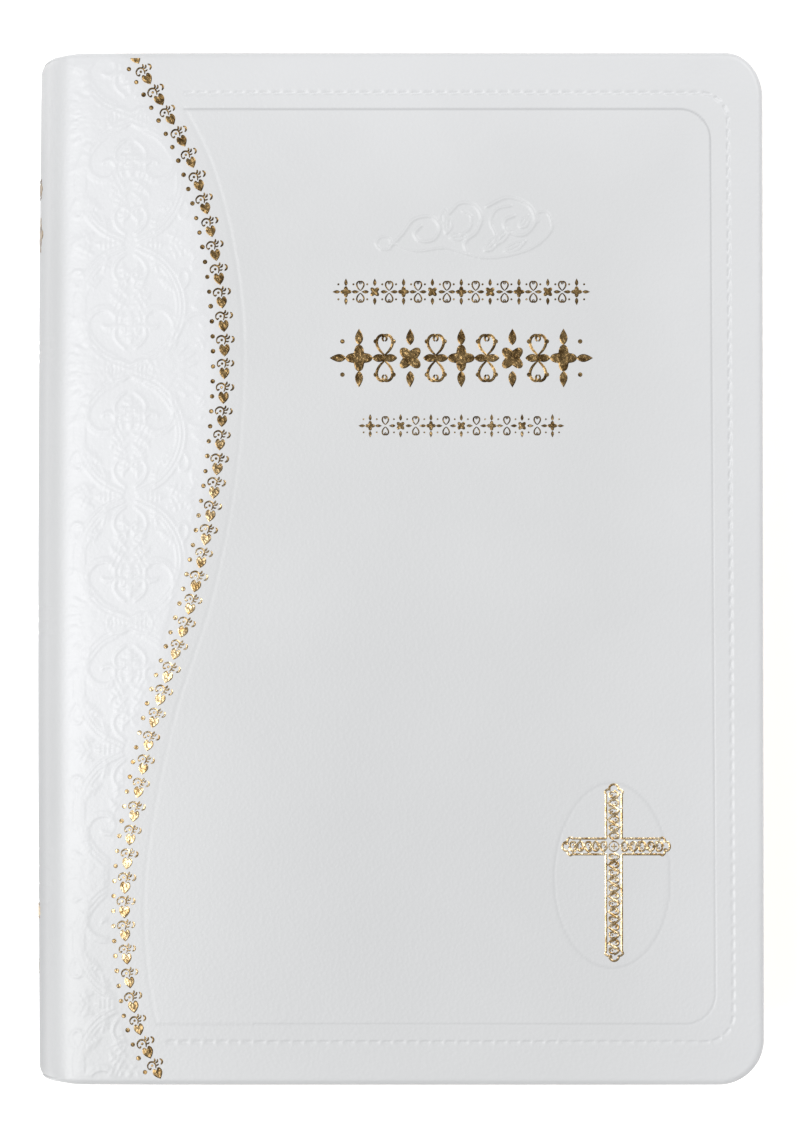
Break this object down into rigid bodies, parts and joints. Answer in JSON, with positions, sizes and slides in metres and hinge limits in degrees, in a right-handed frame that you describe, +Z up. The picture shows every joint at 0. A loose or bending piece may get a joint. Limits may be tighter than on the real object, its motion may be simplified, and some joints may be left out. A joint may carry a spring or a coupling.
{
  "type": "bound bible",
  "caption": "Thick compact book in limp white imitation leather with gold foil border and cross; covers swing open on the rounded spine and the outer sections follow.",
  "frame": {"origin": "centre of the underside of the closed book, on the surface that it lies on", "axes": "+X from the spine towards the fore-edge, +Y from the tail towards the head, +Z up through the thickness, front cover on top"},
  "size_m": [0.1446, 0.204, 0.034],
  "materials": {
    "leatherette": "fine grained white imitation leather with a soft sheen",
    "board": "matte flexible grey-brown board",
    "endpaper": "smooth white endpaper",
    "gold_foil": "hot stamped gold foil over grain",
    "gauze": "open weave starched gauze",
    "lining_paper": "brown kraft lining paper",
    "band_thread": "woven white silk band",
    "sewing_thread": "white linen thread",
    "page_paper": "thin off-white paper with gilt edges"
  },
  "bodies": {
    "root": {"spine_skin": "leatherette", "spine_inlay": "board", "foil_spine": "gold_foil", "mull": "gauze", "spine_lining": "lining_paper", "headband": "band_thread", "tailband": "band_thread", "sewing_thread": "sewing_thread", "section_06": "page_paper", "section_07": "page_paper", "section_08": "page_paper", "section_09": "page_paper", "section_10": "page_paper", "section_11": "page_paper", "section_12": "page_paper", "section_13": "page_paper", "section_14": "page_paper", "section_15": "page_paper", "section_16": "page_paper", "section_17": "page_paper", "section_18": "page_paper", "section_19": "page_paper"},
    "front_cover": {"front_skin": "leatherette", "front_board": "board", "front_pastedown": "endpaper", "foil_border": "gold_foil", "foil_ornaments": "gold_foil", "foil_cross": "gold_foil"},
    "back_cover": {"back_skin": "leatherette", "back_board": "board", "back_pastedown": "endpaper"},
    "front_flyleaf": {"front_flyleaf": "endpaper"},
    "rear_flyleaf": {"rear_flyleaf": "endpaper"},
    "section_01": {"section_01": "page_paper"},
    "section_02": {"section_02": "page_paper"},
    "section_03": {"section_03": "page_paper"},
    "section_04": {"section_04": "page_paper"},
    "section_05": {"section_05": "page_paper"},
    "section_24": {"section_24": "page_paper"},
    "section_23": {"section_23": "page_paper"},
    "section_22": {"section_22": "page_paper"},
    "section_21": {"section_21": "page_paper"},
    "section_20": {"section_20": "page_paper"}
  },
  "joints": [
    {"name": "front_cover_hinge", "type": "hinge", "parent": "root", "child": "front_cover", "pos_m": [-0.06639, 0, 0.03275], "axis": [0, -1, 0], "range_deg": [0, 180]},
    {"name": "back_cover_hinge", "type": "hinge", "parent": "root", "child": "back_cover", "pos_m": [-0.06639, 0, 0.00115], "axis": [0, 1, 0], "range_deg": [0, 180]},
    {"name": "front_flyleaf_turn", "type": "hinge", "parent": "root", "child": "front_flyleaf", "pos_m": [-0.06639, 0, 0.03275], "axis": [0, -1, 0], "range_deg": [0, 176.4]},
    {"name": "section_01_turn", "type": "hinge", "parent": "root", "child": "section_01", "pos_m": [-0.06639, 0, 0.03275], "axis": [0, -1, 0], "range_deg": [0, 171]},
    {"name": "section_02_turn", "type": "hinge", "parent": "root", "child": "section_02", "pos_m": [-0.06639, 0, 0.03275], "axis": [0, -1, 0], "range_deg": [0, 163.8]},
    {"name": "section_03_turn", "type": "hinge", "parent": "root", "child": "section_03", "pos_m": [-0.06639, 0, 0.03275], "axis": [0, -1, 0], "range_deg": [0, 153]},
    {"name": "section_04_turn", "type": "hinge", "parent": "root", "child": "section_04", "pos_m": [-0.06639, 0, 0.03275], "axis": [0, -1, 0], "range_deg": [0, 21.6]},
    {"name": "section_05_turn", "type": "hinge", "parent": "root", "child": "section_05", "pos_m": [-0.06639, 0, 0.03275], "axis": [0, -1, 0], "range_deg": [0, 7.2]},
    {"name": "rear_flyleaf_turn", "type": "hinge", "parent": "root", "child": "rear_flyleaf", "pos_m": [-0.06639, 0, 0.00115], "axis": [0, 1, 0], "range_deg": [0, 176.4]},
    {"name": "section_24_turn", "type": "hinge", "parent": "root", "child": "section_24", "pos_m": [-0.06639, 0, 0.00115], "axis": [0, 1, 0], "range_deg": [0, 171]},
    {"name": "section_23_turn", "type": "hinge", "parent": "root", "child": "section_23", "pos_m": [-0.06639, 0, 0.00115], "axis": [0, 1, 0], "range_deg": [0, 163.8]},
    {"name": "section_22_turn", "type": "hinge", "parent": "root", "child": "section_22", "pos_m": [-0.06639, 0, 0.00115], "axis": [0, 1, 0], "range_deg": [0, 153]},
    {"name": "section_21_turn", "type": "hinge", "parent": "root", "child": "section_21", "pos_m": [-0.06639, 0, 0.00115], "axis": [0, 1, 0], "range_deg": [0, 21.6]},
    {"name": "section_20_turn", "type": "hinge", "parent": "root", "child": "section_20", "pos_m": [-0.06639, 0, 0.00115], "axis": [0, 1, 0], "range_deg": [0, 7.2]}
  ],
  "couplings": [
    {"joint": "front_flyleaf_turn", "follows": "front_cover_hinge", "ratio": 0.98},
    {"joint": "section_01_turn", "follows": "front_cover_hinge", "ratio": 0.95},
    {"joint": "section_02_turn", "follows": "front_cover_hinge", "ratio": 0.91},
    {"joint": "section_03_turn", "follows": "front_cover_hinge", "ratio": 0.85},
    {"joint": "section_04_turn", "follows": "front_cover_hinge", "ratio": 0.12},
    {"joint": "section_05_turn", "follows": "front_cover_hinge", "ratio": 0.04},
    {"joint": "rear_flyleaf_turn", "follows": "back_cover_hinge", "ratio": 0.98},
    {"joint": "section_24_turn", "follows": "back_cover_hinge", "ratio": 0.95},
    {"joint": "section_23_turn", "follows": "back_cover_hinge", "ratio": 0.91},
    {"joint": "section_22_turn", "follows": "back_cover_hinge", "ratio": 0.85},
    {"joint": "section_21_turn", "follows": "back_cover_hinge", "ratio": 0.12},
    {"joint": "section_20_turn", "follows": "back_cover_hinge", "ratio": 0.04}
  ]
}
